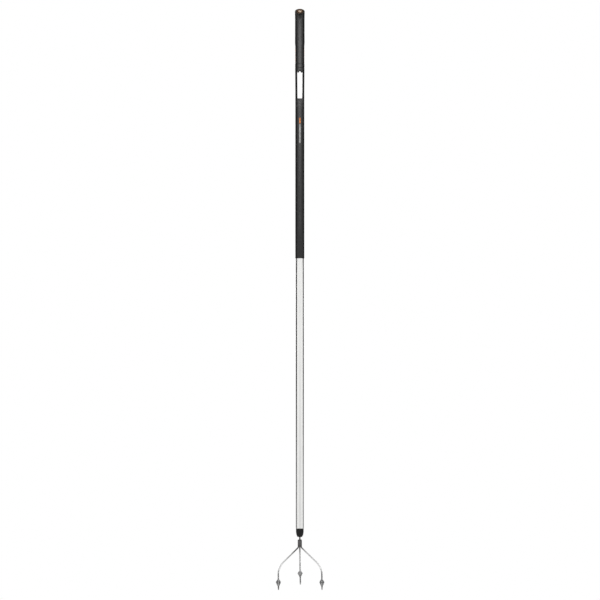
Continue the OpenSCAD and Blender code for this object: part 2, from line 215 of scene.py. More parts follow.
def loft(name, rings):
    """Skin closed rings of equal count and close both ends."""
    n = len(rings[0])
    verts = [p for ring in rings for p in ring]
    faces = []
    for i in range(len(rings) - 1):
        for k in range(n):
            j = (k + 1) % n
            faces.append((i * n + k, i * n + j, (i + 1) * n + j, (i + 1) * n + k))
    faces.append(tuple(range(n)))
    faces.append(tuple(range((len(rings) - 1) * n, len(rings) * n)))
    return make_piece(name, verts, faces)


def prism(name, outline, way, length):
    """A flat outline of 3-D points pushed along a direction."""
    push = Vector(way) * length
    return loft(name, [[Vector(p) for p in outline], [Vector(p) + push for p in outline]])


def rod(name, start, stop, r, steps):
    """A plain round bar, used to cut bores and scoops."""
    start, stop = Vector(start), Vector(stop)
    turn = (stop - start).to_track_quat("Z", "X")
    ring = [turn @ Vector((r * math.cos(a), r * math.sin(a), 0))
            for a in (2 * math.pi * k / steps for k in range(steps))]
    return loft(name, [[start + p for p in ring], [stop + p for p in ring]])


def settle(piece):
    """Keep what the modifiers make as the piece's own mesh."""
    graph = bpy.context.evaluated_depsgraph_get()
    made = bpy.data.meshes.new_from_object(piece.evaluated_get(graph))
    old = piece.data
    piece.modifiers.clear()
    piece.data = made
    bpy.data.meshes.remove(old)
    return piece


def join_shape(piece, tool, operation="DIFFERENCE"):
    """Cut a piece with a tool, or keep what they share, and drop the tool."""
    cut = piece.modifiers.new("cut", "BOOLEAN")
    cut.operation = operation
    cut.solver = "EXACT"
    cut.object = tool
    settle(piece)
    bpy.data.objects.remove(tool)
    return piece


def drill(piece, z, steps=48):
    """Drill the bore of a cross pin through a piece, from side to side."""
    reach = 2 * TUBE_R
    return join_shape(piece, rod("bore", (-reach, 0, z), (reach, 0, z), PIN_R + FIT, steps))


def smooth(piece, rounds, group=""):
    """Ease a piece's mesh, all over or within a vertex group."""
    ease = piece.modifiers.new("ease", "SMOOTH")
    ease.factor = 0.5
    ease.iterations = rounds
    ease.vertex_group = group


def mould(piece, voxel, rounds, more=0, above=0.0):
    """Even out a cut body and round its edges, as a mould leaves them, with more rounds above a height.

    The body is turned while it is evened out, so that no long edge runs along the voxels.
    """
    askew = Matrix.Rotation(math.radians(35), 4, "X") @ Matrix.Rotation(math.radians(25), 4, "Z")
    piece.data.transform(askew)
    even = piece.modifiers.new("even", "REMESH")
    even.mode = "VOXEL"
    even.voxel_size = voxel
    settle(piece)
    piece.data.transform(askew.inverted())
    smooth(piece, rounds)
    if more:
        fade = 4.0
        group = piece.vertex_groups.new(name="soft")
        for v in piece.data.vertices:
            group.add([v.index], min(1.0, max(0.0, (v.co.z - above) / fade)), "REPLACE")
        smooth(piece, more, group.name)
    settle(piece)
    piece.vertex_groups.clear()
    return piece


def add_shells(piece, *others):
    """Put further closed shells into a piece's mesh."""
    work = bmesh.new()
    work.from_mesh(piece.data)
    for other in others:
        work.from_mesh(other.data)
        bpy.data.objects.remove(other)
    work.to_mesh(piece.data)
    work.free()
    return piece


def mirror(piece):
    """Turn a left piece into its right twin."""
    piece.data.transform(Matrix.Scale(-1, 4, RIGHT))
    piece.data.flip_normals()
    return piece


def place(piece, node, finish, sharp=35):
    """Give a piece its finish, set it in metres and let it stand for its node."""
    piece.data.transform(Matrix.Scale(MM, 4))
    for face in piece.data.polygons:
        face.use_smooth = True
    piece.data.set_sharp_from_angle(angle=math.radians(sharp))
    piece.data.materials.clear()
    piece.data.materials.append(finish)
    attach(piece, "root")
    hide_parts(node)
    return piece


# Finishes


class Tone:
    """A socket among a finish's nodes. Arithmetic on it adds Math nodes, and node() adds any other node."""

    def __init__(self, tree, socket=None):
        self.tree = tree
        self.socket = socket

    def node(self, kind, settings=None, sockets=None, out=0):
        """Add a node, with its settings first and then the values or links of its sockets."""
        made = self.tree.nodes.new("ShaderNode" + kind)
        for key, value in (settings or {}).items():
            setattr(made, key, value)
        for key, value in (sockets or {}).items():
            if isinstance(value, Tone):
                self.tree.links.new(value.socket, made.inputs[key])
            else:
                made.inputs[key].default_value = value
        return Tone(self.tree, made.outputs[out])

    def maths(self, operation, *terms):
        return self.node("Math", {"operation": operation}, dict(enumerate(terms)))

    def __add__(self, other):
        return self.maths("ADD", self, other)

    __radd__ = __add__

    def __mul__(self, other):
        return self.maths("MULTIPLY", self, other)

    __rmul__ = __mul__

    def __sub__(self, other):
        return self.maths("SUBTRACT", self, other)

    def __rsub__(self, other):
        return self.maths("SUBTRACT", other, self)

    def __abs__(self):
        return self.maths("ABSOLUTE", self)

    def step(self, low, high):
        """0 below low, 1 above high and a smooth rise between; low may be the larger."""
        return self.node("MapRange", {"interpolation_type": "SMOOTHSTEP"}, {0: self, 1: low, 2: high})

    def between(self, low, high, soft):
        """1 from low to high, with soft edges inside them, and 0 elsewhere."""
        return self.step(low, low + soft) * self.step(high, high - soft)

    def paint(self, low, high):
        """A colour between two, with this tone as the share of the second."""
        return self.node("Mix", {"data_type": "RGBA"}, {0: self, 6: low, 7: high}, 2)

    def stretch(self, scale):
        return self.node("VectorMath", {"operation": "MULTIPLY"}, {0: self, 1: scale})

    def cloud(self, scale, detail, roughness=0.55):
        """Soft noise; scale is in lumps per metre."""
        return self.node("TexNoise", None, {"Vector": self, "Scale": scale, "Detail": detail,
                                            "Roughness": roughness})

    def cells(self, scale):
        """Distance to the nearest of scattered points; scale is in points per metre."""
        return self.node("TexVoronoi", {"feature": "F1"}, {"Vector": self, "Scale": scale})

    def edges(self):
        """How far a mesh sticks out at a spot: more than a half on its outer edges."""
        return self.node("NewGeometry", out="Pointiness")

    def relief(self, depth, strength):
        """A bump of this tone; depth is in millimetres."""
        return self.node("Bump", None, {"Height": self, "Distance": depth * MM, "Strength": strength})

    def axes(self):
        """The X, Y and Z of a vector, as three tones."""
        split = self.node("SeparateXYZ", None, {0: self})
        return [Tone(self.tree, s) for s in split.socket.node.outputs]


def grey(level):
    return (level, level, level, 1.0)


def make_finish(name, recipe, **fixed):
    """A finish from a recipe of varied sockets and from values that are the same all over."""
    finish = bpy.data.materials.new(name)
    finish.use_nodes = True
    tree = finish.node_tree
    shader = next(n for n in tree.nodes if n.type == "BSDF_PRINCIPLED")
    for key, value in fixed.items():
        shader.inputs[key.replace("_", " ")].default_value = value
    spot = Tone(tree).node("TexCoord", out="Object")
    for key, tone in recipe(spot).items():
        tree.links.new(tone.socket, shader.inputs[key])
    return finish


def satin_tube(spot):
    """Drawn and anodised aluminium: hair lines along the tube, soft clouds and a few rubbed marks."""
    lines = spot.stretch((1.0, 1.0, 0.012)).cloud(1900.0, 4.0, 0.65)
    cloud = spot.stretch((1.0, 1.0, 0.25)).cloud(38.0, 3.0)
    rubs = spot.stretch((1.0, 1.0, 0.05)).cloud(420.0, 2.0).step(0.66, 0.74)
    dull, bright, rubbed = (0.83, 0.83, 0.82, 1), (0.90, 0.90, 0.885, 1), (0.72, 0.72, 0.71, 1)
    skin = (lines * 0.6 + cloud * 0.4).step(0.3, 0.7).paint(dull, bright)
    return {"Base Color": rubs.paint(skin, rubbed),
            "Roughness": 0.13 + lines * 0.09 + rubs * 0.05,
            "Normal": lines.relief(0.02, 0.3)}


def moulded_black(spot):
    """Moulded plastic: fine grain, faint clouds, rubbed edges and a painted highlight in the scoop under the
    slot.
    """
    grain = spot.cloud(2600.0, 2.0)
    cloud = spot.cloud(24.0, 2.0)
    wear_and_shade = spot.edges().step(0.53, 0.62)
    _, y, z = spot.axes()
    # A painted highlight on the front of the scoop under the slot, in the grey of the rubbed edges
    highlight_low = metres(SLOT_FOOT - 28.5, SLOT_FOOT - 13.5)
    highlight_high = metres(SLOT_FOOT + 2.5, SLOT_FOOT - 3.5)
    highlight_front = metres(5.3 - SLEEVE_R, 1.8 - SLEEVE_R)
    scoop_highlight = z.step(*highlight_low) * z.step(*highlight_high) * y.step(*highlight_front)
    rubbed = grey(0.045)
    skin = (scoop_highlight * 0.7).paint(cloud.paint(grey(0.008), grey(0.011)), rubbed)
    return {"Base Color": (wear_and_shade * 0.6).paint(skin, rubbed),
            "Roughness": 0.35 + grain * 0.10 - wear_and_shade * 0.05,
            "Normal": grain.relief(0.12, 0.6)}


def printed_sleeve(spot):
    """The sleeve's plastic, with a plain printed stripe that ends in orange on its front."""
    made = moulded_black(spot)
    x, y, z = spot.axes()
    stripe_side = metres(1.9, 1.6)
    stripe_front = metres(6.3 - SLEEVE_R, 4.3 - SLEEVE_R)
    pale_ends = metres(TUBE_TOP - 107.8, TUBE_TOP - 56.2)
    warm_ends = metres(TUBE_TOP - 54.0, TUBE_TOP - 38.2)
    ragged, blur = metres(0.2, 0.4)
    band = abs(x).step(*stripe_side) * y.step(*stripe_front)
    high = z + spot.cloud(900.0, 2.0) * ragged
    pale = band * high.between(*pale_ends, blur)
    warm = band * high.between(*warm_ends, blur)
    ink = (pale * 0.62).paint(made["Base Color"], (0.62, 0.62, 0.61, 1))
    made["Base Color"] = (warm * 0.8).paint(ink, (0.80, 0.23, 0.02, 1))
    return made


def soft_touch(spot):
    """Soft rubbery grip with a close dimple and a dusty bloom."""
    dimple = spot.cells(1150.0)
    grain = spot.cloud(3200.0, 2.0)
    bloom = spot.cloud(45.0, 3.0)
    clean, dusty = grey(0.009), (0.013, 0.013, 0.0128, 1)
    return {"Base Color": bloom.step(0.35, 0.7).paint(clean, dusty),
            "Roughness": 0.37 + bloom * 0.06 + grain * 0.06,
            "Normal": (dimple * 0.6 + grain * 0.4).relief(0.18, 0.6)}


def orange_inlay(spot):
    """Satin coloured plastic, cloudy, and a much darker brown on the end of the grip."""
    cloud = spot.cloud(120.0, 3.0)
    grain = spot.cloud(2400.0, 2.0)
    end_of_grip = metres(GRIP_Z + 70.0, GRIP_Z + 100.0)
    clean = cloud.paint((0.36, 0.105, 0.012, 1), (0.46, 0.15, 0.02, 1))
    # Much darker brown towards the end of the grip
    dark_end_tone = cloud.paint((0.06, 0.028, 0.010, 1), (0.10, 0.046, 0.017, 1))
    return {"Base Color": spot.axes()[Z].step(*end_of_grip).paint(clean, dark_end_tone),
            "Roughness": 0.16 + grain * 0.08,
            "Normal": grain.relief(0.03, 0.2)}


def nose_black(spot):
    """Plain matte moulding of the ferrule, scuffed in streaks."""
    grain = spot.cloud(2200.0, 3.0)
    scuff = spot.stretch((1.0, 1.0, 0.35)).cloud(260.0, 4.0).step(0.58, 0.72)
    return {"Base Color": (scuff * 0.35).paint(grain.paint(grey(0.006), grey(0.009)), grey(0.05)),
            "Roughness": 0.50 + grain * 0.12 - scuff * 0.05,
            "Normal": grain.relief(0.06, 0.4)}


def below_block(*drops):
    """Heights in metres, by their drops below the block where the bars part."""
    return metres(*[ROOT_Z - drop for drop in drops])


def claw_steel(spot):
    """Plated spring steel with draw lines, mottled plating and a weld tint by the welds that painted shade
    deepens;
    painted highlight and painted shade down the middle bar, and painted shade on the bars' lower ends,
    on their points and where they go into the ferrule.
    """
    x, _, z = spot.axes()
    mottle = spot.cloud(240.0, 4.0)
    draw = spot.stretch((1.0, 1.0, 0.10)).cloud(1500.0, 3.0)
    pits = spot.cells(700.0).step(0.16, 0.05) * spot.cloud(90.0, 2.0).step(0.5, 0.62)
    uneven, right_lower = metres(4.0, 4.0)
    high = z + mottle * uneven

    # Heights between which each mark comes in
    neck_shade_from = metres(BLOCK_TOP - 1.2, BLOCK_TOP + 3.8)
    block_from = below_block(9.4, -4.6)
    root_stain_and_shade = below_block(17.4, 8.4)
    outer_stain_and_shade = below_block(45.4, 15.4)
    centre_painted_shade = below_block(49.4, 27.4)
    centre_painted_highlight = below_block(29.4, 51.4)
    centre_shaded_end = below_block(64.4, 79.4)
    shaded_ends_from = below_block(65.4, 74.4)
    less_shade_from = below_block(83.4, 89.4)
    shaded_point_from = below_block(100.4, 106.4)

    # The middle bar, the outer bars and the right one, which gets less painted shade by the welds and on its
    # point, and whose shaded end starts lower down
    centre = abs(x).step(*metres(6.0, 4.0))
    outer = 1 - centre
    right = x.step(*metres(-3.0, 3.0))
    # Weld tint at the roots, deepened and spread down the outer bars as painted shade; the right bar gets
    # less
    stain_and_shade = outer * high.step(*outer_stain_and_shade) * 0.5 + high.step(*root_stain_and_shade) * (0.42 + centre * 0.45)
    heat_and_shade = stain_and_shade * (1 - right * 0.62)
    # Painted shade on the lower ends of the bars, and darker painted shade on the outer points
    most_end_shade = 0.8 + right * 0.15 - high.step(*less_shade_from) * 0.35
    end_shade = (high - right * right_lower).step(*shaded_ends_from) * most_end_shade
    ends = outer * end_shade + centre * high.step(*centre_shaded_end) * 0.75
    point = outer * high.step(*shaded_point_from) * (0.95 - right * 0.35)

    plate = (mottle * 0.6 + draw * 0.4).step(0.3, 0.72).paint(grey(0.66), (0.78, 0.78, 0.775, 1))
    # Painted highlight on the middle bar's lower part, and painted shade in a band above it
    bright = (centre * high.step(*centre_painted_highlight) * 0.7).paint(plate, (0.90, 0.90, 0.895, 1))
    middle_highlight_and_shade = (centre * high.step(*centre_painted_shade) * 0.85).paint(bright, (0.38, 0.38, 0.375, 1))
    stained_and_shaded = heat_and_shade.paint(middle_highlight_and_shade, (0.13, 0.126, 0.122, 1))
    wear_and_shade = point.paint(ends.paint(stained_and_shaded, grey(0.34)), (0.12, 0.115, 0.11, 1))
    scale = mottle.paint((0.08, 0.075, 0.07, 1), (0.15, 0.145, 0.15, 1))
    # Painted shade where the bars go up into the ferrule, over the dark scale of the block
    scale_with_neck_shade = (high.step(*neck_shade_from) * 0.7).paint(scale, (0.035, 0.034, 0.033, 1))
    block = high.step(*block_from)
    return {"Base Color": (pits * 0.4).paint(block.paint(wear_and_shade, scale_with_neck_shade), (0.12, 0.11, 0.10, 1)),
            "Roughness": 0.30 + mottle * 0.14 + block * 0.14,
            "Normal": (draw * 0.5 + mottle * 0.5 - pits * 0.6).relief(0.06, 0.35)}


def bead_steel(spot):
    """Weld metal: dark scale with bright crests."""
    mottle = spot.cloud(600.0, 4.0)
    crest = spot.edges().step(0.5, 0.6)
    scale = mottle.paint((0.09, 0.085, 0.08, 1), (0.19, 0.185, 0.19, 1))
    return {"Base Color": (crest * 0.7).paint(scale, grey(0.42)),
            "Roughness": 0.42 + mottle * 0.2,
            "Normal": mottle.relief(0.1, 0.5)}


def share_steel(spot):
    """Stamped plate with a ground finish across it and bright, rubbed edges, and painted light that makes
    the middle share palest.
    """
    ground = spot.stretch((0.08, 1.0, 1.0)).cloud(1700.0, 3.0)
    mottle = spot.cloud(320.0, 4.0)
    edge = spot.edges().step(0.51, 0.58)
    # Painted light: the share on the middle bar is made paler than the outer two
    centre = abs(spot.axes()[X]).step(*metres(14.0, 10.0))
    dull, bright = (0.23, 0.23, 0.235, 1), (0.31, 0.31, 0.315, 1)
    skin = (mottle * 0.6 + ground * 0.4).step(0.3, 0.72).paint(dull, bright)
    return {"Base Color": (edge * 0.45).paint((centre * 0.85).paint(skin, grey(0.60)), grey(0.5)),
            "Roughness": 0.32 + mottle * 0.16,
            "Normal": (ground * 0.6 + mottle * 0.4).relief(0.06, 0.45)}


def pin_steel(spot):
    """Bright cross pins, with fine lines along them."""
    lines = spot.stretch((0.05, 1.0, 1.0)).cloud(2400.0, 2.0)
    return {"Base Color": lines.paint((0.55, 0.55, 0.56, 1), grey(0.68)),
            "Roughness": 0.25 + lines * 0.15,
            "Normal": lines.relief(0.03, 0.4)}


FINISH = {
    "tube": make_finish("satin_tube", satin_tube, Metallic=1.0),
    "grip_plastic": make_finish("moulded_black", moulded_black, Specular_IOR_Level=0.5),
    "sleeve": make_finish("printed_sleeve", printed_sleeve, Specular_IOR_Level=0.5),
    "soft_grip": make_finish("soft_touch", soft_touch, Specular_IOR_Level=0.5),
    "accent": make_finish("orange_inlay", orange_inlay, Specular_IOR_Level=0.6),
    "ferrule_plastic": make_finish("nose_black", nose_black, Specular_IOR_Level=0.3),
    "tine_steel": make_finish("claw_steel", claw_steel, Metallic=1.0),
    "weld_steel": make_finish("bead_steel", bead_steel, Metallic=0.9),
    "share_steel": make_finish("share_steel", share_steel, Metallic=1.0),
    "pin_steel": make_finish("pin_steel", pin_steel, Metallic=1.0),
}


# Handle


def make_tube():
    lip = 0.25
    bore = TUBE_R - TUBE_WALL
    tube = lathe("tube", [(bore, TUBE_LOW), (TUBE_R - lip, TUBE_LOW), (TUBE_R, TUBE_LOW + lip),
                          (TUBE_R, TUBE_TOP - lip), (TUBE_R - lip, TUBE_TOP), (bore, TUBE_TOP)], closed=True)
    for z in (HEAD_PIN_Z, FRAME_PIN_Z):
        drill(tube, z)
    return place(tube, "shaft_tube", FINISH["tube"])


def make_sleeve():
    rim, seam = 1.0, 0.3
    outline = [(SLEEVE_BORE, SLEEVE_LOW)] + arc((SLEEVE_R - rim, SLEEVE_LOW + rim), rim, -90, 0, 8)
    outline += [(SLEEVE_R, TUBE_TOP - seam), (SLEEVE_R - seam, TUBE_TOP), (SLEEVE_BORE, TUBE_TOP)]
    return place(lathe("sleeve", outline, closed=True), "grip_sleeve", FINISH["sleeve"])


def slot_outline():
    """The hang slot from the front: round foot corners, tapered sides, two shoulders and the nail seat."""
    foot, top, seat, corner = 6.5, 7.2, 2.0, 1.0
    shoulder = (top - seat) / 2
    level = shoulder - NAIL_DEPTH
    mid = (top + seat) / 2
    right = arc((foot - corner, SLOT_FOOT + corner), corner, -90, 0, 6)
    left = arc((corner - foot, SLOT_FOOT + corner), corner, 180, 270, 6)
    points = right + arc((mid, level), shoulder, 0, -180, 18) + arc((0, -seat), seat, 0, 180, 24)
    points += arc((-mid, level), shoulder, 0, -180, 18) + left
    return points


def scoop(side, r, z, run, depth):
    """A round cutter that leans into the frame's front or back, from its surface at height z."""
    cutter_r, clear = 9.0, 1.0
    way = Vector((0, -side * depth / run, 1)).normalized()
    out = Vector((0, side, depth / run)).normalized()
    start = Vector((0, side * r, z)) + out * cutter_r
    low, high = min(0, run) - clear, max(0, run) + clear
    return rod("scoop", start + way * low, start + way * high, cutter_r, 96)


def make_frame():
    groove, half_groove, dip = 9.8, 1.0, 0.8
    flare_from = SLOT_FOOT * 0.7
    body = lathe("hang_frame", [(0, TUBE_TOP), (SLEEVE_R, TUBE_TOP), (SLEEVE_R, flare_from),
                                (COLLAR_R, groove - half_groove), (COLLAR_R - dip, groove),
                                (COLLAR_R, groove + half_groove), (COLLAR_R, GRIP_Z), (0, GRIP_Z)])
    reach = 2 * COLLAR_R
    join_shape(body, prism("slot", [(x, -reach, z) for x, z in slot_outline()], (0, 1, 0), 2 * reach))
    scoop_run, scoop_depth = 11.5, 3.6
    brow_h, brow_depth, brow_sink = 4.5, 3.4, 0.05
    for side in (-1, 1):
        join_shape(body, scoop(side, SLEEVE_R, SLOT_FOOT - scoop_run, scoop_run, scoop_depth))
        join_shape(body, scoop(side, COLLAR_R - brow_sink, brow_h, -brow_h - NAIL_DEPTH, brow_depth))
    mould(body, voxel=0.42, rounds=6)
    stem = lathe("stem", [(0, GRIP_Z), (STEM_R, GRIP_Z), (STEM_R, STEM_TOP), (0, STEM_TOP)], steps=64)
    bore = SPIGOT_R - SPIGOT_WALL
    spigot = lathe("spigot", [(bore, SPIGOT_LOW), (SPIGOT_R, SPIGOT_LOW), (SPIGOT_R, TUBE_TOP),
                              (bore, TUBE_TOP)], steps=64, closed=True)
    drill(spigot, FRAME_PIN_Z, steps=32)
    add_shells(body, stem, spigot)
    return place(body, "hang_frame", FINISH["grip_plastic"], sharp=40)


def grip_outline(proud=0.0):
    """Radius and height of the soft grip, from its waist to its rounded end."""
    waist_end, swell_at, span_from, knob_from = 45.0, 59.0, 79.0, GRIP_LEN - 32.5
    swell_r, span_r = WAIST_R + 0.7, WAIST_R + 0.55
    stations = [(WAIST_R, 0.0), (WAIST_R, waist_end), (swell_r, swell_at), (span_r, span_from),
                (span_r, knob_from), (KNOB_R, GRIP_LEN - GRIP_DOME)]
    steps, dome_steps = 8, 18
    outline = []
    for (r0, z0), (r1, z1) in zip(stations, stations[1:]):
        for k in range(steps):
            t = k / steps
            outline.append((r0 + (r1 - r0) * (1 - math.cos(math.pi * t)) / 2, z0 + (z1 - z0) * t))
    for k in range(dome_steps):
        a = math.radians(90 * k / dome_steps)
        outline.append((KNOB_R * math.cos(a), GRIP_LEN - GRIP_DOME * (1 - math.sin(a))))
    return [(r + proud, GRIP_Z + z) for r, z in outline]


def to_end_face(piece):
    """Set a piece that was made upright at the origin on the sloped end of the grip."""
    piece.data.transform(Matrix.Translation((0, FACE_Y, FACE_Z)) @ Matrix.Rotation(END_SLOPE, 4, "X"))
    return piece


def side_strip(name, side, grow=0.0):
    """The stadium of a side inlay, pushed outwards from its pocket's floor."""
    half = INLAY_H / 2 - INLAY_W / 2
    r = INLAY_W / 2 + grow
    points = arc((0, INLAY_Z + half), r, 0, 180, 20) + arc((0, INLAY_Z - half), r, 180, 360, 20)
    floor = side * (WAIST_R - INLAY_T - grow)
    return prism(name, [(floor, y, z) for y, z in points], RIGHT * side, 3 * INLAY_T)


def lip_outline():
    """What the rounded lip takes off between the grip's front and its sloped face, seen from the side."""
    turn, ease = math.degrees(END_SLOPE), 14.0
    gentle_r, clear = 100.0, 1.0
    rise, run = math.sin(END_SLOPE), math.cos(END_SLOPE)
    ease_rise, ease_run = math.sin(math.radians(ease)), math.cos(math.radians(ease))
    tight_r = (LIP_ROUND * (1 - run) - gentle_r * (1 - ease_run)) / (ease_run - run)
    top_y, top_z = LIP_CUT * run - KNOB_R, LIP_Z + LIP_CUT * rise
    tight = arc((top_y + tight_r * rise, top_z - tight_r * run), tight_r, 180 - turn, 180 - ease, 12)
    y, z = tight[-1]
    gentle = arc((y + gentle_r * ease_run, z - gentle_r * ease_rise), gentle_r, 180 - ease, 180, 8)
    front, foot = -KNOB_R - clear, gentle[-1][1]
    outside = [(front, foot), (front, LIP_Z + clear), (top_y - rise, top_z + run)]
    return tight + gentle[1:] + outside


def make_soft_grip():
    body = lathe("soft_grip", [(0, GRIP_Z)] + grip_outline() + [(0, GRIP_Z + GRIP_LEN)])
    wide, clear = 2 * KNOB_R, 6.0
    square = [(-wide, -wide, 0), (wide, -wide, 0), (wide, wide, 0), (-wide, wide, 0)]
    join_shape(body, to_end_face(prism("slope", square, UP, wide)))
    join_shape(body, prism("lip", [(-wide, y, z) for y, z in lip_outline()], RIGHT, 2 * wide))
    soft_from = LIP_Z - 24.0
    mould(body, voxel=0.5, rounds=6, more=24, above=soft_from)
    join_shape(body, rod("bore", (0, 0, GRIP_Z - clear), (0, 0, STEM_TOP + FIT), STEM_R + FIT, 96))
    join_shape(body, to_end_face(rod("seat", (0, 0, -END_INLAY_T), (0, 0, clear), END_INLAY_R + FIT, 96)))
    for side in (-1, 1):
        join_shape(body, side_strip("pocket", side, FIT))
    return place(body, "soft_grip", FINISH["soft_grip"], sharp=40)


def make_end_inlay():
    rise, edge = 0.5, 0.15
    ball = (END_INLAY_R ** 2 + rise ** 2) / (2 * rise)
    top = END_INLAY_T + rise
    outline = [(0, 0), (END_INLAY_R, 0), (END_INLAY_R, END_INLAY_T - edge)]
    for part in (1 - edge / END_INLAY_R, 0.8, 0.6, 0.4, 0.2):
        r = END_INLAY_R * part
        outline.append((r, top - ball + math.sqrt(ball ** 2 - r ** 2)))
    piece = lathe("end_inlay", outline + [(0, top)], steps=96)
    piece.data.transform(Matrix.Translation((0, 0, -END_INLAY_T)))
    return place(to_end_face(piece), "end_inlay", FINISH["accent"], sharp=30)


def make_side_inlay(name, side):
    proud, over = 0.12, 0.1
    strip = side_strip(name, side)
    outline = [(0, GRIP_Z)] + grip_outline(proud) + [(0, GRIP_Z + GRIP_LEN + over)]
    join_shape(strip, lathe("shell", outline, steps=256), "INTERSECT")
    mould(strip, voxel=0.22, rounds=3)
    return place(strip, name, FINISH["accent"], sharp=50)


# Claw


def bar_corner(x, reach, drop):
    """A corner of a bar's route, by its reach to the front and its drop below the block."""
    return Vector((x, -reach, ROOT_Z - drop))


SIDE_ROOT = bar_corner(-BAR_W, reach=0, drop=0)
SIDE_KNEE = bar_corner(-SPREAD, reach=16.5, drop=54.7)
SIDE_TIP = bar_corner(-SPREAD, reach=60, drop=116.1)
CENTRE_ROOT = bar_corner(0, reach=0, drop=0)
CENTRE_KNEE = bar_corner(0, reach=20, drop=46.0)
CENTRE_TIP = bar_corner(0, reach=78, drop=101.3)


def bend(before, corner, after, r, steps):
    """Points and directions round a filleted corner."""
    u, v = (before - corner).normalized(), (after - corner).normalized()
    turn = math.pi - u.angle(v)
    cut = r * math.tan(turn / 2)
    centre = corner + (u + v).normalized() * r / math.cos(turn / 2)
    first, last = corner + u * cut - centre, corner + v * cut - centre
    stops = []
    for i in range(steps + 1):
        a = turn * i / steps
        point = centre + (first * math.sin(turn - a) + last * math.sin(a)) / math.sin(turn)
        stops.append((point, (last * math.cos(a) - first * math.cos(turn - a)).normalized()))
    return stops


def bar_ways(way):
    """Across and forward directions of a bar that runs along way."""
    forward = (FRONT - way * FRONT.dot(way)).normalized()
    return way.cross(forward), forward


def bar_ring(point, way, half_w, half_d, push=0.0):
    """A rounded rectangle square to a bar, pushed sideways on its own axis."""
    across, forward = bar_ways(way)
    full_r, most, steps = 0.75, 0.6, 4
    r = min(full_r, half_w * most, half_d * most)
    ring = []
    for sx, sy, start in ((1, 1, 0), (-1, 1, 90), (-1, -1, 180), (1, -1, 270)):
        ring += arc((sx * (half_w - r), sy * (half_d - r)), r, start, start + 90, steps)
    return [point + across * (a + push) + forward * d for a, d in ring]


def bar_rings(top, root, knee, tip, root_r, knee_r):
    """Rings of a bar from its straight top to its point, slimmer from front to back on the way down."""
    half_w = BAR_W / 2
    rings = [bar_ring(top, (root - top).normalized(), half_w, BAR_ROOT / 2)]
    bends = bend(top, root, knee, root_r, steps=20) + bend(root, knee, tip, knee_r, steps=28)
    for i, (point, way) in enumerate(bends):
        depth = BAR_ROOT + (BAR_END - BAR_ROOT) * i / len(bends)
        rings.append(bar_ring(point, way, half_w, depth / 2))
    way = (tip - knee).normalized()
    for t in (0.0, 0.12, 0.3, 0.5, 0.7, 0.85, 0.95, 1.0):
        blunt = t ** 1.35
        width, depth = BAR_W + (POINT_W - BAR_W) * blunt, BAR_END + (POINT_W - BAR_END) * blunt
        rings.append(bar_ring(tip - way * POINT_LEN * (1 - t), way, width / 2, depth / 2))
    return rings


def make_centre_tine():
    top = Vector((0, 0, TANG_TOP))
    rings = bar_rings(top, CENTRE_ROOT, CENTRE_KNEE, CENTRE_TIP, root_r=25.0, knee_r=60.0)
    piece = loft("centre_tine", rings)
    drill(piece, HEAD_PIN_Z)
    return place(piece, "centre_tine", FINISH["tine_steel"])


def make_side_tine(name, right=False):
    """An outer bar whose upper end is rounded off away from the middle bar."""
    steps, most_lost = 8, BAR_W * 0.7
    inward = bar_ways(-UP)[0].x
    rings = []
    for i in range(steps):
        a = math.radians(90 * i / steps)
        lost = most_lost * (1 - math.sin(a))
        point = Vector((-BAR_W, 0, BLOCK_TOP - END_ROUND * (1 - math.cos(a))))
        rings.append(bar_ring(point, -UP, (BAR_W - lost) / 2, BAR_ROOT / 2 - lost / 3, inward * lost / 2))
    top = Vector((-BAR_W, 0, BLOCK_TOP - END_ROUND))
    rings += bar_rings(top, SIDE_ROOT, SIDE_KNEE, SIDE_TIP, root_r=8.0, knee_r=52.0)
    piece = loft(name, rings)
    if right:
        mirror(piece)
    return place(piece, name, FINISH["tine_steel"])


def rippled_bead(name, start, ways, length, half, rise, root, ripples):
    """A weld bead of overlapping crescents on the line from start, rooted in the groove under it.

    Its ways are those along it, across it and out of its groove.
    """
    along, across, out = ways
    trough, lean, least_end = 0.82, 0.175, 0.02
    steps = ripples * 6
    rings = []
    for i in range(steps + 1):
        t = i / steps
        wave = (t * ripples) % 1.0
        ends = min(1.0, math.sqrt(max(least_end, 1 - (2 * t - 1) ** 8)))
        size = ends * (trough + (1 - trough) * math.sin(math.pi * wave) ** 0.6)
        lag = lean * (1 - math.cos(math.pi * wave)) * ends
        ring = []
        for a in range(0, 181, 15):
            c, s = math.cos(math.radians(a)), math.sin(math.radians(a))
            seat = start + along * (length * t + (s - 0.5) * lag)
            ring.append(seat + across * (half * c * size) + out * (rise * s * size))
        ring.append(start + along * length * t - out * root * ends)
        rings.append(ring)
    return loft(name, rings)


def make_weld(name):
    """Beads that fill the grooves between an outer bar and the middle bar, front and back."""
    width, _, length = extent(name)
    rise = highest(name)[Y] - BAR_ROOT / 2
    beads = []
    for face in (-1, 1):
        start = Vector((middle(name)[X], face * BAR_ROOT / 2, lowest(name)[Z]))
        ways = UP, RIGHT, -FRONT * face
        beads.append(rippled_bead(name, start, ways, length, width / 2, rise, root=0.5, ripples=9))
    return place(add_shells(*beads), name, FINISH["weld_steel"], sharp=60)


def share_outline():
    """A diamond with rubbed corners, from its upper corner round."""
    rub = 0.06
    corners = [Vector(c) for c in ((0, -SHARE_UP), (SHARE_W / 2, 0), (0, SHARE_DOWN), (-SHARE_W / 2, 0))]
    outline = []
    for i, corner in enumerate(corners):
        before, after = corners[i - 1], corners[(i + 1) % len(corners)]
        first, last = corner.lerp(before, rub), corner.lerp(after, rub)
        for t in (0.0, 0.25, 0.5, 0.75, 1.0):
            outline.append(first * (1 - t) ** 2 + corner * 2 * t * (1 - t) + last * t ** 2)
        for t in (0.2, 0.4, 0.6, 0.8):
            outline.append(last.lerp(after.lerp(corner, rub), t))
    return outline


